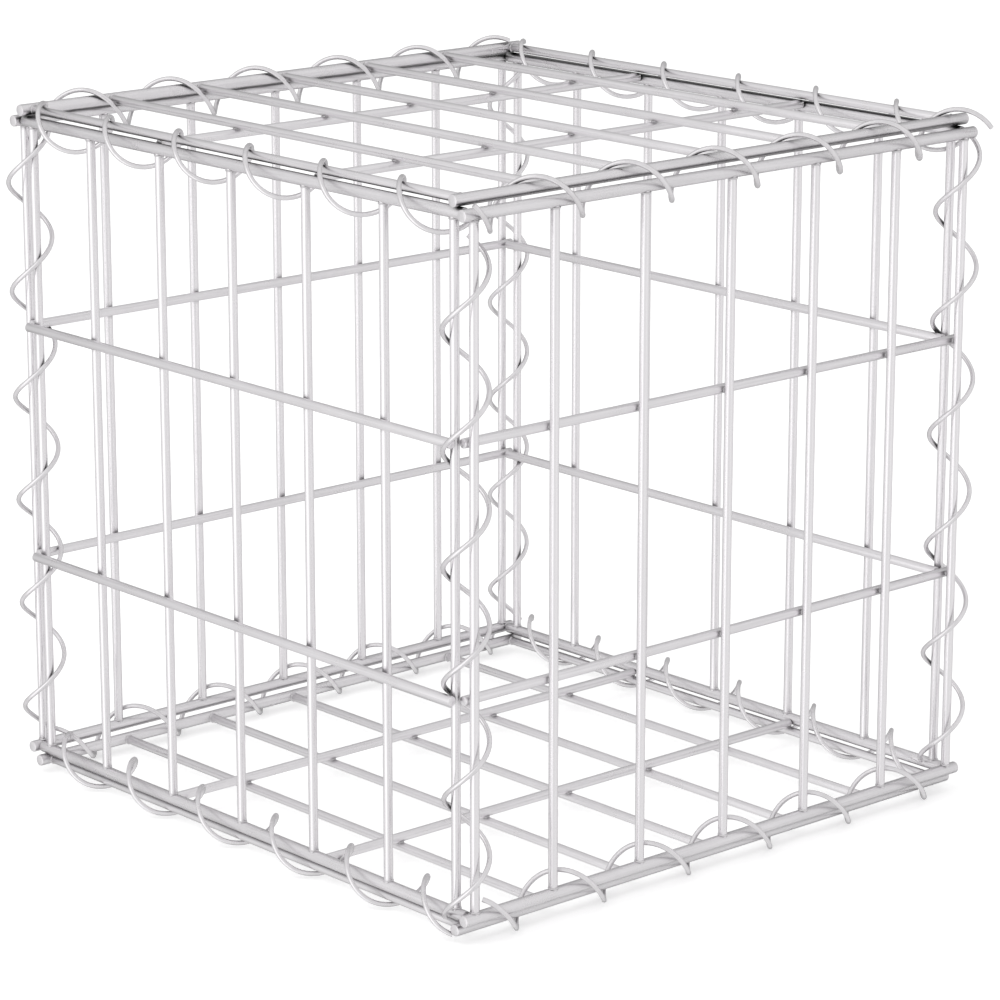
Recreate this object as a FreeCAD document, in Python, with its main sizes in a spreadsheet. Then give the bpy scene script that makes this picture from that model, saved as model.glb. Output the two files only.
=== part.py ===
"""Gabion raised bed: an empty cube basket of welded wire mesh.

Six equal square panels stand as front, back, left, right, lid and base.  Each panel has seven
line wires, two cross wires welded on one face of them and two thick edge wires that close their
ends.  Twelve spiral binders lace the panels together, one along each edge of the cube.  Lengths
are in millimetres, +Z is up, and the origin lies on the ground under the middle of the basket.
"""
import FreeCAD, Part
import math
import os

doc = FreeCAD.newDocument("gabion_raised_bed")

SIZES = (
    ("panel_size", 300.0, "side of each square panel, over its edge wires"),
    ("edge_wire_dia", 5.2, "thick wires that close two opposite sides of a panel"),
    ("line_wire_dia", 4.0, "wires that run from one edge wire to the other"),
    ("cross_wire_dia", 4.2, "middle wires welded across the line wires"),
    ("line_spacing", 50.0, "between the middle line wires"),
    ("line_inset", 6.5, "from the end of an edge wire to the outer line wire"),
    ("cross_spacing", 108.0, "between the two cross wires"),
    ("cross_stub", 0.5, "end of a cross wire past the outer line wire"),
    ("side_inset", 4.5, "front and back panels, inwards from the ends of the side panels"),
    ("side_clearance", 0.3, "between side panels and the edge wires that butt against them"),
    ("lid_clearance", 0.2, "between stacked edge wires of lid or base and walls"),
    ("binder_wire_dia", 2.0, "wire of the spiral binders"),
    ("coil_radius", 9.4, "axis of a binder to the middle of its wire"),
    ("binder_clearance", 0.3, "between a binder and the wire that carries it"),
)

# Straight wires are drawn as fine prisms.  A binder has straight steps and a flat-sided section
# of the round wire's area.
WIRE_SIDES = 16
STEPS_PER_TURN = 12
SECTION_SIDES = 6
SECTION_GROWTH = math.sqrt(2 * math.pi / (SECTION_SIDES * math.sin(2 * math.pi / SECTION_SIDES)))

sheet = doc.addObject("Spreadsheet::Sheet", "sizes")
for row, (alias, value, note) in enumerate(SIZES, start=1):
    sheet.set(f"A{row}", alias)
    sheet.set(f"B{row}", str(value))
    sheet.set(f"C{row}", note)
    sheet.setAlias(f"B{row}", alias)
doc.recompute()


def size(alias):
    """Value of one driving size."""
    return float(sheet.get(alias))


# Places worked out from the driving sizes, as expressions on the sheet.
HALF = "sizes.panel_size / 2"
EDGE_AXIS = f"({HALF} - sizes.edge_wire_dia / 2)"
LINE_HALF = f"({HALF} - sizes.edge_wire_dia)"
OUTER_LINE = f"({HALF} - sizes.line_inset)"
CROSS_AXIS = "(sizes.cross_spacing / 2)"
CROSS_HALF = f"({OUTER_LINE} + sizes.line_wire_dia / 2 + sizes.cross_stub)"
CROSS_SEAT = "((sizes.line_wire_dia + sizes.cross_wire_dia) / 2)"
END_PLANE = f"({HALF} + sizes.side_clearance + sizes.edge_wire_dia / 2)"
SIDE_PLANE = f"({HALF} - sizes.side_inset)"
TRIMMED_HALF = f"({SIDE_PLANE} - sizes.edge_wire_dia / 2 - sizes.side_clearance)"
LID_RISE = f"({EDGE_AXIS} + sizes.edge_wire_dia + sizes.lid_clearance)"

# A binder hangs on the inside of its coil, so its axis stands this far from the wire it bears on.
SECTION_RADIUS = f"(sizes.binder_wire_dia / 2 * {SECTION_GROWTH:.6f})"
COIL_INSIDE = f"(sizes.coil_radius * cos(180 deg / {STEPS_PER_TURN}) - {SECTION_RADIUS})"
EDGE_SEAT = f"({COIL_INSIDE} - sizes.edge_wire_dia / 2 - sizes.binder_clearance)"
LINE_SEAT = f"({COIL_INSIDE} - sizes.line_wire_dia / 2 - sizes.binder_clearance)"
BINDER_X = f"(({END_PLANE} + {EDGE_AXIS}) / 2)"
BINDER_Y = f"(({SIDE_PLANE} + {OUTER_LINE}) / 2)"
RISE_OVER_EDGE = f"({LID_RISE} - sqrt({EDGE_SEAT} ^ 2 - ({BINDER_X} - {EDGE_AXIS}) ^ 2))"
RISE_OVER_LINE = f"({LID_RISE} - sqrt({LINE_SEAT} ^ 2 - ({BINDER_Y} - {OUTER_LINE}) ^ 2))"
CORNER_X = f"({OUTER_LINE} + sqrt({LINE_SEAT} ^ 2 - ({SIDE_PLANE} - {BINDER_Y}) ^ 2))"
MIDDLE_RISE = f"({RISE_OVER_EDGE} + sizes.coil_radius + {SECTION_RADIUS})"

X_AXIS = FreeCAD.Vector(1, 0, 0)
Y_AXIS = FreeCAD.Vector(0, 1, 0)
Z_AXIS = FreeCAD.Vector(0, 0, 1)
ALONG_X = FreeCAD.Rotation(Y_AXIS, 90)


def move(item, x="0", y="0", z="0"):
    """Bind the place of an object to the sheet."""
    for axis, expression in (("x", x), ("y", y), ("z", z)):
        item.setExpression(f"Placement.Base.{axis}", expression)


def wire(name, diameter, length, x, y, z, turn=None):
    """Round wire that starts at the given place and runs along +Z, or as turned."""
    rod = doc.addObject("Part::Prism", name)
    rod.Polygon = WIRE_SIDES
    rod.setExpression("Circumradius", f"sizes.{diameter} / 2")
    rod.setExpression("Height", length)
    if turn:
        rod.Placement.Rotation = turn
    move(rod, x, y, z)
    return rod


def group(name, items):
    """Several solids kept together as one object."""
    compound = doc.addObject("Part::Compound", name)
    compound.Links = items
    return compound


def model_frame_wires():
    """Edge and line wires of a panel, upright in the XZ plane with its line wires along Z."""
    edges = []
    for side, sign in (("low", "-"), ("high", "")):
        edges.append(wire(f"edge_{side}", "edge_wire_dia", "sizes.panel_size",
                          f"-{HALF}", "0", f"{sign}{EDGE_AXIS}", ALONG_X))

    middle_count = round((size("panel_size") / 2 - size("line_inset")) / size("line_spacing")) - 1
    places = [f"{step} * sizes.line_spacing" for step in range(-middle_count, middle_count + 1)]
    places = [f"-{OUTER_LINE}"] + places + [OUTER_LINE]
    lines = []
    for number, place in enumerate(places, start=1):
        lines.append(wire(f"line_{number}", "line_wire_dia", f"2 * {LINE_HALF}",
                          place, "0", f"-{LINE_HALF}"))
    return group("panel_edge_wires", edges), group("panel_line_wires", lines)


def model_cross_wires(name, half_length):
    """Two wires along X that lie on the -Y side of an upright panel's line wires."""
    crosses = []
    for side, sign in (("low", "-"), ("high", "")):
        crosses.append(wire(f"{name}_{side}", "cross_wire_dia", f"2 * {half_length}",
                            f"-{half_length}", f"-{CROSS_SEAT}", f"{sign}{CROSS_AXIS}", ALONG_X))
    return group(f"{name}_wires", crosses)


def model_binder(name, start_inset, end_inset, middle_angle, squeeze):
    """Right-handed spiral binder about the Z axis, with the middle of its edge at zero.

    Its two ends stop short of the panel's edge wires by the insets, which are shares of a turn.
    The coil passes the middle at one angle.  Between the two cross wires it turns further than
    its pitch by the squeeze on each side, where the mesh holds it pushed together.
    """
    radius = size("coil_radius")
    pitch = size("line_spacing")
    half_reach = size("panel_size") / 2 - size("edge_wire_dia")
    start = start_inset * pitch - half_reach
    length = 2 * half_reach - (start_inset + end_inset) * pitch
    step_count = round(length / pitch * STEPS_PER_TURN)
    points = []
    for step in range(step_count + 1):
        rise = start + length * step / step_count
        held = max(-1.0, min(1.0, 2 * rise / size("cross_spacing")))
        angle = math.radians(middle_angle + 360 * rise / pitch + squeeze * held)
        points.append(FreeCAD.Vector(radius * math.cos(angle), radius * math.sin(angle), rise))
    path = doc.addObject("Part::Polygon", f"path_{name}")
    path.Nodes = points

    section = doc.addObject("Part::RegularPolygon", f"section_{name}")
    section.Polygon = SECTION_SIDES
    section.setExpression("Circumradius", SECTION_RADIUS)
    section.Placement = FreeCAD.Placement(points[0], FreeCAD.Rotation(Z_AXIS, points[1] - points[0]))

    coil = doc.addObject("Part::Sweep", f"coil_{name}")
    coil.Sections = [section]
    coil.Spine = (path, [])
    coil.Solid = True
    coil.Frenet = False
    coil.Transition = "Right corner"
    return coil


def node(label, source, turn, x, y, z):
    """Place a copy of a modelled piece in the basket, under the name it is written as."""
    placed = doc.addObject("Part::Compound", label)
    placed.Label = label
    placed.Links = [source]
    placed.Placement.Rotation = turn
    move(placed, x, y, z)
    return placed


edge_wires, line_wires = model_frame_wires()
cross_wires = model_cross_wires("cross", CROSS_HALF)
# Under the lid and over the base the cross wires stop short of the walls' edge wires.
trimmed_cross_wires = model_cross_wires("trimmed_cross", TRIMMED_HALF)

# Panel name, turn from the upright model panel, place of its middle, and its cross wires,
# which face outwards on the front panel and inwards on the other five.
LYING = FreeCAD.Rotation(Y_AXIS, Z_AXIS, X_AXIS, "XYZ")
LYING_FLIPPED = FreeCAD.Rotation(Y_AXIS, -Z_AXIS, -X_AXIS, "XYZ")
PANELS = (
    ("front", FreeCAD.Rotation(), "0", f"-{SIDE_PLANE}", MIDDLE_RISE, cross_wires),
    ("back", FreeCAD.Rotation(), "0", SIDE_PLANE, MIDDLE_RISE, cross_wires),
    ("right", FreeCAD.Rotation(Z_AXIS, -90), END_PLANE, "0", MIDDLE_RISE, cross_wires),
    ("left", FreeCAD.Rotation(Z_AXIS, 90), f"-{END_PLANE}", "0", MIDDLE_RISE, cross_wires),
    ("lid", LYING, "0", "0", f"{MIDDLE_RISE} + {LID_RISE}", trimmed_cross_wires),
    ("base", LYING_FLIPPED, "0", "0", f"{MIDDLE_RISE} - {LID_RISE}", trimmed_cross_wires),
)

# Binder name, direction, place of its axis, how far its start and end stop short of the edge
# wires in turns, and the angle and squeeze that let its wire pass clear of the mesh.
TOP_X = f"{MIDDLE_RISE} + {RISE_OVER_EDGE}"
TOP_Y = f"{MIDDLE_RISE} + {RISE_OVER_LINE}"
LOW_X = f"{MIDDLE_RISE} - {RISE_OVER_EDGE}"
LOW_Y = f"{MIDDLE_RISE} - {RISE_OVER_LINE}"
BINDERS = (
    ("top_front", "x", "0", f"-{BINDER_Y}", TOP_Y, 0.026, 0.026, 9.0, 8.0),
    ("top_back", "x", "0", BINDER_Y, TOP_Y, 0.026, 0.016, 9.0, 0.0),
    ("bottom_front", "x", "0", f"-{BINDER_Y}", LOW_Y, 0.096, 0.006, 303.0, -18.0),
    ("bottom_back", "x", "0", BINDER_Y, LOW_Y, 0.096, 0.016, 319.5, 0.0),
    ("top_left", "y", f"-{BINDER_X}", "0", TOP_X, 0.056, 0.066, 95.5, 0.0),
    ("top_right", "y", BINDER_X, "0", TOP_X, -0.074, -0.184, 54.5, 0.0),
    ("bottom_left", "y", f"-{BINDER_X}", "0", LOW_X, 0.076, -0.024, 300.5, 0.0),
    ("bottom_right", "y", BINDER_X, "0", LOW_X, 0.096, 0.096, 310.0, 0.0),
    ("front_left", "z", f"-{CORNER_X}", f"-{BINDER_Y}", MIDDLE_RISE, 0.036, 0.036, 83.0, 12.0),
    ("front_right", "z", CORNER_X, f"-{BINDER_Y}", MIDDLE_RISE, -0.074, 0.156, 215.0, 12.0),
    ("back_right", "z", CORNER_X, BINDER_Y, MIDDLE_RISE, -0.014, -0.024, 153.0, -16.0),
    ("back_left", "z", f"-{CORNER_X}", BINDER_Y, MIDDLE_RISE, -0.004, 0.036, 60.0, 0.0),
)
BINDER_TURNS = {
    "x": FreeCAD.Rotation(Y_AXIS, Z_AXIS, X_AXIS, "XYZ"),
    "y": FreeCAD.Rotation(Z_AXIS, X_AXIS, Y_AXIS, "XYZ"),
    "z": FreeCAD.Rotation(),
}

nodes = []
for name, turn, x, y, z, crosses in PANELS:
    nodes.append(node(f"{name}_edge_wires", edge_wires, turn, x, y, z))
    nodes.append(node(f"{name}_line_wires", line_wires, turn, x, y, z))
    nodes.append(node(f"{name}_cross_wires", crosses, turn, x, y, z))
for name, direction, x, y, z, start_inset, end_inset, middle_angle, squeeze in BINDERS:
    coil = model_binder(name, start_inset, end_inset, middle_angle, squeeze)
    nodes.append(node(f"binder_{name}", coil, BINDER_TURNS[direction], x, y, z))
doc.recompute()

for item in doc.Objects:
    if "Invalid" in item.State or "Error" in item.State:
        raise RuntimeError(f"{item.Label} did not build: {item.State}")
for item in nodes:
    if item.Shape.isNull() or not item.Shape.isValid() or not item.Shape.Solids:
        raise RuntimeError(f"{item.Label} has no valid solid")

os.makedirs("parts", exist_ok=True)
for item in nodes:
    item.Shape.exportStep(f"parts/{item.Label}.step")
print(f"{len(nodes)} nodes, {sum(len(item.Shape.Solids) for item in nodes)} solids")
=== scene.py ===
import math

import bpy
from mathutils import Matrix, Vector


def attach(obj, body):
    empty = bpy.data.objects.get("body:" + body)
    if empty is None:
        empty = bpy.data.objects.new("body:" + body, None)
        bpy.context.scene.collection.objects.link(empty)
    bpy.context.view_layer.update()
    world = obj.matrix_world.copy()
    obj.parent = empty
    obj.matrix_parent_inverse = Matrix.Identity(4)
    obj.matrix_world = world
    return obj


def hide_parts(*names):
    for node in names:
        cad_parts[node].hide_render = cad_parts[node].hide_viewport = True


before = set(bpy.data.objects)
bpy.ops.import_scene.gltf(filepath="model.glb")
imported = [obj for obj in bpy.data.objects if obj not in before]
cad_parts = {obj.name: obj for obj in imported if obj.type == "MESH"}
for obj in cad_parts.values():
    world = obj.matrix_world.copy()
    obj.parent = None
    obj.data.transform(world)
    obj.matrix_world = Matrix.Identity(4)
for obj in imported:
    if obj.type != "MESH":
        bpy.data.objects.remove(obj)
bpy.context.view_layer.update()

# Driving sizes of the basket in metres, as in the CAD model.
PANEL = 0.300
EDGE_R, LINE_R, CROSS_R = 0.0026, 0.0020, 0.0021
CELL = 0.050
LINE_INSET, SIDE_INSET = 0.0065, 0.0045
CROSS_PLACE, CROSS_STUB = 0.054, 0.0005
SIDE_CLEARANCE, LID_CLEARANCE = 0.0003, 0.0002
COIL_R, PITCH = 0.0094, CELL
# A binder hangs by the inside of its coil. Its axis is this far from the middle of the wire
# that carries it.
HANG_ON_EDGE, HANG_ON_LINE = 0.005080, 0.005680
# The solids have a six-sided binder wire. The round wire here stays within its corners.
BINDER_CORNER_R, BINDER_R = 0.00110, 0.00108

# Places worked out from the sizes.
EDGE_AXIS = PANEL / 2 - EDGE_R
EDGE_FACE = EDGE_AXIS - EDGE_R
OUTER_LINE = PANEL / 2 - LINE_INSET
LINE_PLACES = (-OUTER_LINE, -2 * CELL, -CELL, 0.0, CELL, 2 * CELL, OUTER_LINE)
CROSS_PLACES = (-CROSS_PLACE, CROSS_PLACE)
CROSS_LAYER = LINE_R + CROSS_R
CROSS_HALF = OUTER_LINE + LINE_R + CROSS_STUB
END_PLANE = PANEL / 2 + SIDE_CLEARANCE + EDGE_R
SIDE_PLANE = PANEL / 2 - SIDE_INSET
TRIMMED_HALF = SIDE_PLANE - EDGE_R - SIDE_CLEARANCE
LID_RISE = EDGE_AXIS + 2 * EDGE_R + LID_CLEARANCE
BINDER_X = (END_PLANE + EDGE_AXIS) / 2
BINDER_Y = (SIDE_PLANE + OUTER_LINE) / 2
RISE_OVER_EDGE = LID_RISE - math.sqrt(HANG_ON_EDGE ** 2 - (BINDER_X - EDGE_AXIS) ** 2)
RISE_OVER_LINE = LID_RISE - math.sqrt(HANG_ON_LINE ** 2 - (BINDER_Y - OUTER_LINE) ** 2)
CORNER_X = OUTER_LINE + math.sqrt(HANG_ON_LINE ** 2 - (SIDE_PLANE - BINDER_Y) ** 2)
MIDDLE = RISE_OVER_EDGE + COIL_R + BINDER_CORNER_R

# Details that the solids leave out. Line wires sink into the edge wires, the rims of cut ends are
# rounded by a share of the wire's radius, and beads of weld are uneven by a share of their own.
LINE_SINK, SNIP = 0.0014, 0.16
CROSSING_BEAD_R, BUTT_BEAD_R, BEAD_DEPTH = 0.00165, 0.00232, 0.00085
LUMP, LUMPS_ACROSS, LUMPS_UP = 0.10, 3, 4

# How finely round things are drawn.
ROD_SIDES = 32
BEAD_SEGMENTS, BEAD_RINGS = 16, 10
COIL_STEPS, COIL_ROUNDNESS = 216, 4
# Edges up to this sharp are shaded as round, and points this near count as one.
CREASE = math.radians(40)
SAME_PLACE = 1e-6


# Helpers.
def only(*objects):
    """Select these objects, with the first one active."""
    bpy.ops.object.select_all(action="DESELECT")
    for item in objects:
        item.select_set(True)
    bpy.context.view_layer.objects.active = objects[0]


def shift(x, y, z):
    return Matrix.Translation((x, y, z))


def copies(model, places):
    """Copies of a model, each with its own mesh, moved by the given matrices."""
    made = []
    for place in places:
        item = model.copy()
        item.data = model.data.copy()
        bpy.context.scene.collection.objects.link(item)
        item.data.transform(place)
        made.append(item)
    return made


def join(name, items):
    """One object of several, at the origin."""
    only(*items)
    bpy.ops.object.join()
    whole = bpy.context.view_layer.objects.active
    whole.name = name
    whole.data.name = name
    return whole


def smooth(item, crease=CREASE):
    """Shade a piece as round, except across edges sharper than the crease."""
    only(item)
    bpy.ops.object.shade_smooth_by_angle(angle=crease)


def coat(item, material):
    item.data.materials.clear()
    item.data.materials.append(material)


def settle(item):
    """Fix a piece to the basket."""
    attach(item, "root")


# Shader nodes.
def node_tree(owner):
    """Emptied node tree of a material or of the world."""
    owner.use_nodes = True
    tree = owner.node_tree
    tree.nodes.clear()
    return tree


def add(tree, kind, **values):
    """New shader node; inputs by name with underscores, other names are its own settings."""
    node = tree.nodes.new(kind)
    for key, value in values.items():
        if hasattr(node, key):
            setattr(node, key, value)
        else:
            node.inputs[key.replace("_", " ")].default_value = value
    return node


def math_node(tree, operation, a, b, clamp=False):
    """Result of two values, each a number or another node's output."""
    node = add(tree, "ShaderNodeMath", operation=operation, use_clamp=clamp)
    for entry, value in zip(node.inputs, (a, b)):
        if isinstance(value, (int, float)):
            entry.default_value = value
        else:
            tree.links.new(value, entry)
    return node.outputs[0]


def ramp(tree, source, stops):
    """Grey that follows a value through pairs of a place and a level."""
    node = add(tree, "ShaderNodeValToRGB")
    points = node.color_ramp.elements
    while len(points) < len(stops):
        points.new(0.5)
    for point, (place, grey) in zip(points, stops):
        point.position = place
        point.color = (grey, grey, grey, 1)
    tree.links.new(source, node.inputs[0])
    return node.outputs[0]


# Finishes of zinc, with painted shade in the gaps.
# Painted shade: the share of the zinc's brightness that is left, from a closed gap to an open place.
PAINTED_SHADE_STOPS = ((0.12, 0.01), (0.40, 0.22), (0.66, 0.80), (0.84, 1.0))
GAP_RAYS = 8
# Painted light from the pale ground keeps all gaps this light up to the first height, and none is
# painted from the second.
PAINTED_GROUND_LIGHT, PAINTED_GROUND_ZONE = 0.75, (0.015, 0.030)
# Large clouds change the tone and the roughness by these shares of the streaks' strength.
CLOUD_TONE, CLOUD_DULLNESS = 0.45, 0.6
# A very faint lilac tint, as a little less green.
TINT = (("Red", 1.0), ("Green", 0.978), ("Blue", 1.0))
RELIEF_DEPTH = 0.00008


def painted_gap_shade(tree, place, reach, gap_light):
    """Painted shade where wires nearly meet: the share of the zinc's brightness that is left.

    Gaps narrower than about the reach are darkened, down to gap_light; near the ground painted light
    from the pale floor keeps them lighter.
    """
    openness = add(tree, "ShaderNodeAmbientOcclusion", samples=GAP_RAYS, Distance=reach)
    height = add(tree, "ShaderNodeSeparateXYZ")
    tree.links.new(place, height.inputs[0])
    # Painted light of the pale floor: near the ground the gaps keep more of their tone.
    low, high = PAINTED_GROUND_ZONE
    least = ramp(tree, height.outputs["Z"], ((low, PAINTED_GROUND_LIGHT), (high, gap_light)))
    return math_node(tree, "MAXIMUM", ramp(tree, openness.outputs["AO"], PAINTED_SHADE_STOPS), least)


def galvanised(name, grain, look, gap):
    """Zinc-coated steel with painted shade in narrow gaps; grain holds the noise scale along X, Y and
    Z, low along the wire.
    """
    tone, rough, streaks, relief = look
    material = bpy.data.materials.new(name)
    tree = node_tree(material)
    place = add(tree, "ShaderNodeTexCoord").outputs["Object"]
    stretch = add(tree, "ShaderNodeMapping", Scale=grain)
    tree.links.new(place, stretch.inputs["Vector"])
    streak = add(tree, "ShaderNodeTexNoise", Scale=1.0, Detail=2.0, Roughness=0.5)
    tree.links.new(stretch.outputs[0], streak.inputs["Vector"])
    cloud = add(tree, "ShaderNodeTexNoise", Scale=55.0, Detail=3.0, Roughness=0.55)
    tree.links.new(place, cloud.inputs["Vector"])
    streaky = math_node(tree, "SUBTRACT", streak.outputs[0], 0.5)
    cloudy = math_node(tree, "SUBTRACT", cloud.outputs[0], 0.5)

    fine = math_node(tree, "MULTIPLY", streaky, streaks)
    broad = math_node(tree, "MULTIPLY", cloudy, CLOUD_TONE * streaks)
    level = math_node(tree, "ADD", math_node(tree, "ADD", fine, broad), tone, clamp=True)
    # Painted shade: the tone is darkened where wires nearly meet.
    level = math_node(tree, "MULTIPLY", level, painted_gap_shade(tree, place, *gap))
    colour = add(tree, "ShaderNodeCombineColor")
    for channel, factor in TINT:
        tree.links.new(math_node(tree, "MULTIPLY", level, factor), colour.inputs[channel])
    dullness = math_node(tree, "MULTIPLY", cloudy, CLOUD_DULLNESS * streaks)
    roughness = math_node(tree, "ADD", dullness, rough)
    bump = add(tree, "ShaderNodeBump", Strength=relief, Distance=RELIEF_DEPTH)
    tree.links.new(streak.outputs[0], bump.inputs["Height"])

    surface = add(tree, "ShaderNodeBsdfPrincipled", Metallic=1.0)
    tree.links.new(colour.outputs[0], surface.inputs["Base Color"])
    tree.links.new(roughness, surface.inputs["Roughness"])
    tree.links.new(bump.outputs[0], surface.inputs["Normal"])
    output = add(tree, "ShaderNodeOutputMaterial")
    tree.links.new(surface.outputs[0], output.inputs[0])
    return material


# Noise scales across and along a wire, and in all directions.
FINE, LONG = 1400.0, 22.0
ALONG = {"x": (LONG, FINE, FINE), "y": (FINE, LONG, FINE), "z": (FINE, FINE, LONG)}
BINDER_GRAIN, BEAD_GRAIN = (260.0, 260.0, 260.0), (500.0, 500.0, 500.0)
# Tone, roughness, strength of the streaks and strength of the relief. The upright wires' higher tone
# is painted light, on the same zinc as the flat wires.
FLAT_LOOK, UPRIGHT_LOOK = (0.86, 0.29, 0.22, 0.25), (0.92, 0.27, 0.05, 0.04)
BINDER_LOOK, BEAD_LOOK = (0.84, 0.27, 0.16, 0.25), (0.74, 0.41, 0.25, 0.25)
# How wide a gap gets painted shade, and the light left in it.
EDGE_PAINTED_SHADE, FLAT_PAINTED_SHADE, UPRIGHT_PAINTED_SHADE = (0.0075, 0.0), (0.0040, 0.80), (0.0040, 0.45)
BINDER_PAINTED_SHADE, BEAD_PAINTED_SHADE = (0.0040, 0.10), (0.0040, 0.45)

EDGE_ZINC_AND_PAINTED_SHADE = {way: galvanised(f"galvanised edge wire {way}", ALONG[way], FLAT_LOOK, EDGE_PAINTED_SHADE)
               for way in "xy"}
THIN_ZINC_AND_PAINTED_SHADE = {way: galvanised(f"galvanised thin wire {way}", ALONG[way], FLAT_LOOK, FLAT_PAINTED_SHADE)
               for way in "xy"}
THIN_ZINC_AND_PAINTED_SHADE["z"] = galvanised("galvanised thin wire z", ALONG["z"], UPRIGHT_LOOK, UPRIGHT_PAINTED_SHADE)
BINDER_ZINC_AND_PAINTED_SHADE = galvanised("galvanised binder wire", BINDER_GRAIN, BINDER_LOOK, BINDER_PAINTED_SHADE)
BEAD_ZINC_AND_PAINTED_SHADE = galvanised("zinc over weld", BEAD_GRAIN, BEAD_LOOK, BEAD_PAINTED_SHADE)


# Mesh panels.
def snipped_rod(name, radius, length):
    """Straight wire along Z about the origin, its cut ends slightly rounded."""
    bpy.ops.mesh.primitive_cylinder_add(vertices=ROD_SIDES, radius=radius, depth=length)
    rod = bpy.context.object
    rod.name = name
    bpy.ops.object.mode_set(mode="EDIT")
    bpy.ops.mesh.select_all(action="DESELECT")
    bpy.ops.object.mode_set(mode="OBJECT")
    # The level edges are the rims of the two ends.
    for edge in rod.data.edges:
        a, b = (rod.data.vertices[v].co for v in edge.vertices)
        edge.select = abs(a.z - b.z) < SAME_PLACE
    bpy.ops.object.mode_set(mode="EDIT")
    bpy.ops.mesh.select_mode(type="EDGE")
    bpy.ops.mesh.bevel(offset=radius * SNIP, segments=2, affect="EDGES")
    bpy.ops.object.mode_set(mode="OBJECT")
    smooth(rod)
    return rod


def weld_bead(name, radius, seed):
    """Small uneven lump of melted steel about the origin, flattened along Y."""
    bpy.ops.mesh.primitive_uv_sphere_add(segments=BEAD_SEGMENTS, ring_count=BEAD_RINGS, radius=1.0)
    bead = bpy.context.object
    bead.name = name
    for vertex in bead.data.vertices:
        x, y, z = vertex.co
        lump = 1 + LUMP * math.sin(LUMPS_ACROSS * x + seed) * math.cos(LUMPS_UP * z - seed)
        vertex.co = Vector((x * radius * lump, y * BEAD_DEPTH, z * radius * lump))
    smooth(bead, math.pi)
    return bead


edge_model = snipped_rod("edge wire", EDGE_R, PANEL)
line_model = snipped_rod("line wire", LINE_R, 2 * (EDGE_FACE + LINE_SINK))
cross_model = snipped_rod("cross wire", CROSS_R, 2 * CROSS_HALF)
trimmed_model = snipped_rod("trimmed cross wire", CROSS_R, 2 * TRIMMED_HALF)
crossing_bead = weld_bead("crossing bead", CROSSING_BEAD_R, seed=0.7)
butt_bead = weld_bead("butt bead", BUTT_BEAD_R, seed=2.1)


def frame_of(x_axis, y_axis, z_axis, centre):
    """Matrix that carries the upright model panel into the basket."""
    turn = Matrix((x_axis, y_axis, z_axis)).transposed().to_4x4()
    return Matrix.Translation(centre) @ turn


X, Y, Z = (1, 0, 0), (0, 1, 0), (0, 0, 1)
BACK_X, BACK_Y, BACK_Z = (-1, 0, 0), (0, -1, 0), (0, 0, -1)
# Panel, its frame, the directions of its edge and line wires, and its cross wire model.
PANELS = (
    ("front", frame_of(X, Y, Z, (0, -SIDE_PLANE, MIDDLE)), "x", "z", cross_model),
    ("back", frame_of(X, Y, Z, (0, SIDE_PLANE, MIDDLE)), "x", "z", cross_model),
    ("right", frame_of(BACK_Y, X, Z, (END_PLANE, 0, MIDDLE)), "y", "z", cross_model),
    ("left", frame_of(Y, BACK_X, Z, (-END_PLANE, 0, MIDDLE)), "y", "z", cross_model),
    ("lid", frame_of(Y, Z, X, (0, 0, MIDDLE + LID_RISE)), "y", "x", trimmed_model),
    ("base", frame_of(Y, BACK_Z, BACK_X, (0, 0, MIDDLE - LID_RISE)), "y", "x", trimmed_model),
)
# Turns in the model panel, of a wire that runs along X and of a bead that is flat in Z.
ALONG_X = Matrix.Rotation(math.pi / 2, 4, "Y")
FLAT_IN_Z = Matrix.Rotation(math.pi / 2, 4, "X")

for panel, place, edge_way, line_way, cross in PANELS:
    edges = copies(edge_model, [place @ shift(0, 0, z) @ ALONG_X for z in (-EDGE_AXIS, EDGE_AXIS)])
    lines = copies(line_model, [place @ shift(x, 0, 0) for x in LINE_PLACES])
    crosses = copies(cross, [place @ shift(0, -CROSS_LAYER, z) @ ALONG_X for z in CROSS_PLACES])
    for rod in edges:
        coat(rod, EDGE_ZINC_AND_PAINTED_SHADE[edge_way])
    for rod in lines:
        coat(rod, THIN_ZINC_AND_PAINTED_SHADE[line_way])
    for rod in crosses:
        coat(rod, THIN_ZINC_AND_PAINTED_SHADE[edge_way])
    welded_lines = LINE_PLACES
    if cross is trimmed_model:
        # Outer line wires of lid and base lie along a wall's edge wire, and take the edge wires' deep
        # painted shade for the gap between.
        # The cross wires stop short of it and have no bead on those two.
        coat(lines[0], EDGE_ZINC_AND_PAINTED_SHADE[line_way])
        coat(lines[-1], EDGE_ZINC_AND_PAINTED_SHADE[line_way])
        welded_lines = LINE_PLACES[1:-1]
    for kind, rods in (("edge", edges), ("line", lines), ("cross", crosses)):
        wires = join(f"{panel}_{kind}_rods", rods)
        settle(wires)
        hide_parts(f"{panel}_{kind}_wires")
    crossings = [place @ shift(x, -LINE_R, z) for x in welded_lines for z in CROSS_PLACES]
    butts = [place @ shift(x, 0, z) @ FLAT_IN_Z for x in LINE_PLACES for z in (-EDGE_FACE, EDGE_FACE)]
    welds = join(f"{panel}_welds", copies(crossing_bead, crossings) + copies(butt_bead, butts))
    coat(welds, BEAD_ZINC_AND_PAINTED_SHADE)
    settle(welds)

for model in (edge_model, line_model, cross_model, trimmed_model, crossing_bead, butt_bead):
    bpy.data.objects.remove(model)

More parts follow.
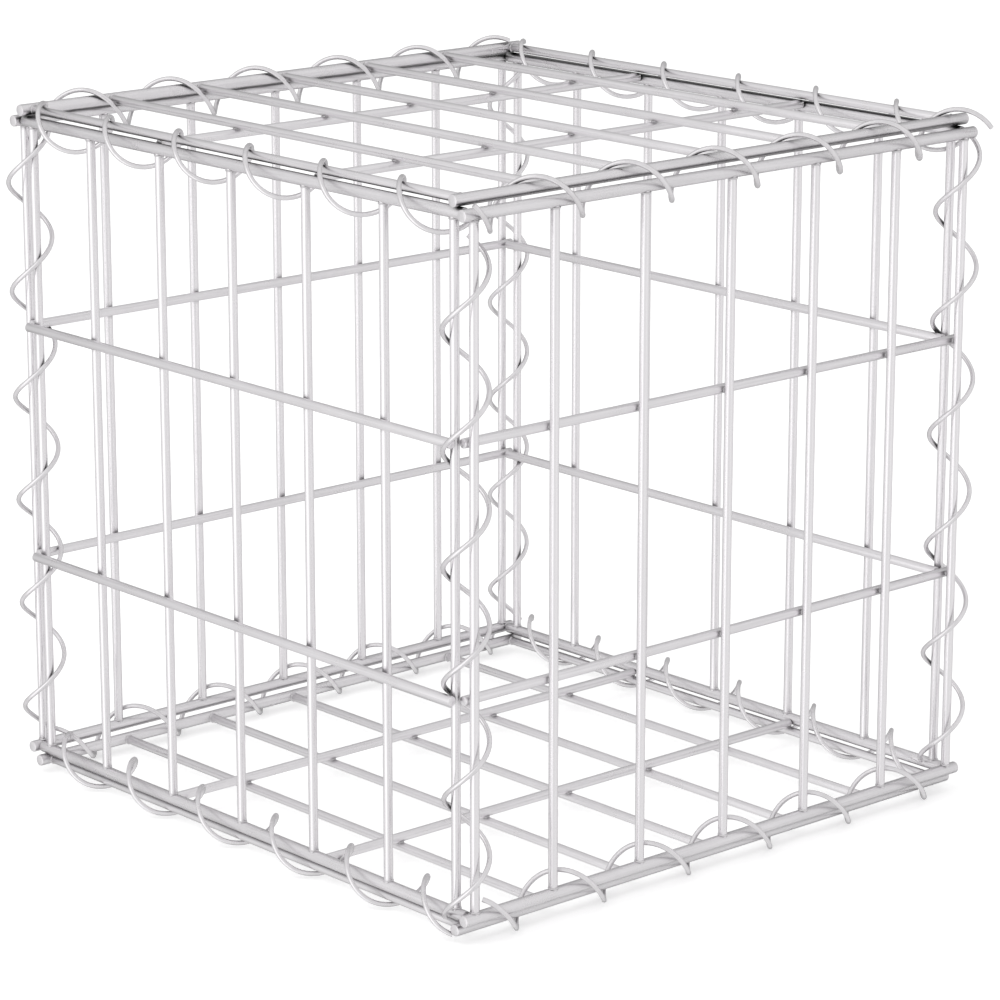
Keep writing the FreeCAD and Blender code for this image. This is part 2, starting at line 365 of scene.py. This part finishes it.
# Spiral binders.
# Binder, direction, the two places of its axis from the middle of the basket, how many turns its
# start and end stop short of the edge wires, its angle at the middle, and its squeeze.
# The two places are in Y and Z for a binder along X, Z and X along Y, and X and Y along Z.
BINDERS = (
    ("top_front", "x", (-BINDER_Y, RISE_OVER_LINE), 0.026, 0.026, 9.0, 8.0),
    ("top_back", "x", (BINDER_Y, RISE_OVER_LINE), 0.026, 0.016, 9.0, 0.0),
    ("bottom_front", "x", (-BINDER_Y, -RISE_OVER_LINE), 0.096, 0.006, 303.0, -18.0),
    ("bottom_back", "x", (BINDER_Y, -RISE_OVER_LINE), 0.096, 0.016, 319.5, 0.0),
    ("top_left", "y", (RISE_OVER_EDGE, -BINDER_X), 0.056, 0.066, 95.5, 0.0),
    ("top_right", "y", (RISE_OVER_EDGE, BINDER_X), -0.074, -0.184, 54.5, 0.0),
    ("bottom_left", "y", (-RISE_OVER_EDGE, -BINDER_X), 0.076, -0.024, 300.5, 0.0),
    ("bottom_right", "y", (-RISE_OVER_EDGE, BINDER_X), 0.096, 0.096, 310.0, 0.0),
    ("front_left", "z", (-CORNER_X, -BINDER_Y), 0.036, 0.036, 83.0, 12.0),
    ("front_right", "z", (CORNER_X, -BINDER_Y), -0.074, 0.156, 215.0, 12.0),
    ("back_right", "z", (CORNER_X, BINDER_Y), -0.014, -0.024, 153.0, -16.0),
    ("back_left", "z", (-CORNER_X, BINDER_Y), -0.004, 0.036, 60.0, 0.0),
)


def spiral(name, way, axis, start_inset, end_inset, middle_angle, squeeze):
    """Round wire wound about its axis, with blunt cut ends.

    Between the cross wires it turns further than its pitch by the squeeze on each side.
    """
    start = start_inset * PITCH - EDGE_FACE
    end = EDGE_FACE - end_inset * PITCH
    bpy.ops.curve.primitive_nurbs_path_add()
    coil = bpy.context.object
    coil.name = name
    curve = coil.data
    curve.splines.clear()
    line = curve.splines.new("POLY")
    line.points.add(COIL_STEPS)
    for step, point in enumerate(line.points):
        t = start + (end - start) * step / COIL_STEPS
        held = max(-1.0, min(1.0, t / CROSS_PLACE))
        angle = math.radians(middle_angle + 360 * t / PITCH + squeeze * held)
        a = axis[0] + COIL_R * math.cos(angle)
        b = axis[1] + COIL_R * math.sin(angle)
        x, y, z = {"x": (t, a, b), "y": (b, t, a), "z": (a, b, t)}[way]
        point.co = (x, y, z + MIDDLE, 1)
    curve.dimensions = "3D"
    curve.twist_mode = "MINIMUM"
    curve.bevel_depth = BINDER_R
    curve.bevel_resolution = COIL_ROUNDNESS
    curve.use_fill_caps = True
    only(coil)
    bpy.ops.object.convert(target="MESH")
    coil = bpy.context.object
    bpy.ops.object.mode_set(mode="EDIT")
    bpy.ops.mesh.select_all(action="SELECT")
    bpy.ops.mesh.remove_doubles(threshold=SAME_PLACE)
    bpy.ops.mesh.normals_make_consistent(inside=False)
    bpy.ops.object.mode_set(mode="OBJECT")
    smooth(coil)
    return coil


for name, *shape in BINDERS:
    coil = spiral(f"coil_{name}", *shape)
    coat(coil, BINDER_ZINC_AND_PAINTED_SHADE)
    settle(coil)
    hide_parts(f"binder_{name}")

# Floor.
FLOOR_SIDE, FLOOR_GREY, FLOOR_GLOW = 12, 0.86, 0.42
WHITE = (1, 1, 1, 1)


def pale_floor_finish():
    """Pale matt paint, with a glow that only the camera sees and that lights nothing."""
    material = bpy.data.materials.new("pale floor")
    tree = node_tree(material)
    paint = add(tree, "ShaderNodeBsdfDiffuse", Color=(FLOOR_GREY, FLOOR_GREY, FLOOR_GREY, 1))
    glow = add(tree, "ShaderNodeEmission", Color=WHITE)
    rays = add(tree, "ShaderNodeLightPath")
    seen_glow = math_node(tree, "MULTIPLY", rays.outputs["Is Camera Ray"], FLOOR_GLOW)
    tree.links.new(seen_glow, glow.inputs["Strength"])
    both = add(tree, "ShaderNodeAddShader")
    tree.links.new(paint.outputs[0], both.inputs[0])
    tree.links.new(glow.outputs[0], both.inputs[1])
    output = add(tree, "ShaderNodeOutputMaterial")
    tree.links.new(both.outputs[0], output.inputs[0])
    return material


bpy.ops.mesh.primitive_plane_add(size=FLOOR_SIDE)
floor = bpy.context.object
floor.name = "floor"
floor.visible_glossy = False
coat(floor, pale_floor_finish())

# View of the camera, as level directions away from it and to its left.
YAW, PITCH_DOWN = math.radians(48.365), math.radians(14.825)
AWAY = Vector((-math.sin(YAW), math.cos(YAW), 0))
TO_LEFT = Vector((-math.cos(YAW), -math.sin(YAW), 0))

# World. The studio is pale and gets darker beyond the basket. A broad light strip stands to the
# left of the camera and a faint one to its right.
STRIPE = (TO_LEFT - AWAY).normalized()
FAINT_ANGLE = math.radians(54)
FAINT_STRIPE = -AWAY * math.cos(FAINT_ANGLE) - TO_LEFT * math.sin(FAINT_ANGLE)
# The rise of a ray counts only by this share against the strips, which makes them tall.
RISE_SHARE = 0.35
# Pairs of how nearly a ray points there and the light that it meets.
BEYOND_STOPS = ((0.30, 0.81), (0.98, 0.45))
STRIPE_STOPS = ((0.83, 0.0), (0.95, 0.45))
FAINT_STOPS = ((0.965, 0.0), (0.995, 0.10))
SEEN_LIGHT = 1.0


def facing(tree, ray, vector):
    """How nearly a ray points along the vector, from -1 to 1."""
    node = add(tree, "ShaderNodeVectorMath", operation="DOT_PRODUCT")
    node.inputs[1].default_value = vector
    tree.links.new(ray, node.inputs[0])
    return node.outputs["Value"]


def studio_world():
    """Light all round the basket. The camera itself sees plain white."""
    world = bpy.data.worlds.new("studio")
    tree = node_tree(world)
    ray = add(tree, "ShaderNodeTexCoord").outputs["Generated"]
    flattened = add(tree, "ShaderNodeVectorMath", operation="MULTIPLY")
    flattened.inputs[1].default_value = (1, 1, RISE_SHARE)
    tree.links.new(ray, flattened.inputs[0])
    levelled = add(tree, "ShaderNodeVectorMath", operation="NORMALIZE")
    tree.links.new(flattened.outputs[0], levelled.inputs[0])
    level_ray = levelled.outputs[0]

    beyond = ramp(tree, facing(tree, ray, AWAY), BEYOND_STOPS)
    stripe = ramp(tree, facing(tree, level_ray, STRIPE), STRIPE_STOPS)
    faint = ramp(tree, facing(tree, level_ray, FAINT_STRIPE), FAINT_STOPS)
    light = math_node(tree, "ADD", beyond, math_node(tree, "ADD", stripe, faint))

    rays = add(tree, "ShaderNodeLightPath")
    seen = add(tree, "ShaderNodeMix", data_type="FLOAT")
    tree.links.new(rays.outputs["Is Camera Ray"], seen.inputs[0])
    tree.links.new(light, seen.inputs[2])
    seen.inputs[3].default_value = SEEN_LIGHT
    shell = add(tree, "ShaderNodeBackground", Color=WHITE)
    tree.links.new(seen.outputs[0], shell.inputs["Strength"])
    output = add(tree, "ShaderNodeOutputWorld")
    tree.links.new(shell.outputs[0], output.inputs[0])
    return world


scene = bpy.context.scene
scene.world = studio_world()


def aim(item, direction):
    """Point a lamp or a camera along the direction, with its upper side up."""
    item.rotation_euler = direction.to_track_quat("-Z", "Y").to_euler()


# Lamp. It gives the basket its soft shadow, and the wires don't reflect it.
KEY_PLACE, KEY_SIDE, KEY_WATTS = Vector((-0.4, -1.5, 1.9)), 1.4, 9.0

bpy.ops.object.light_add(type="AREA", location=KEY_PLACE)
key = bpy.context.object
key.name = "key"
key.data.shape = "SQUARE"
key.data.size = KEY_SIDE
key.data.energy = KEY_WATTS
key.visible_glossy = False
aim(key, Vector((0, 0, MIDDLE)) - KEY_PLACE)

# Camera.
CAMERA_PLACE = (1.3139, -1.1617, 0.4398 + MIDDLE)
LENS, SENSOR, FAR_CLIP = 143.37, 36.0, 50

bpy.ops.object.camera_add(location=CAMERA_PLACE)
camera = bpy.context.object
camera.data.lens, camera.data.sensor_width = LENS, SENSOR
camera.data.clip_end = FAR_CLIP
aim(camera, AWAY * math.cos(PITCH_DOWN) - Vector((0, 0, math.sin(PITCH_DOWN))))
scene.camera = camera
scene.view_settings.view_transform = "Standard"
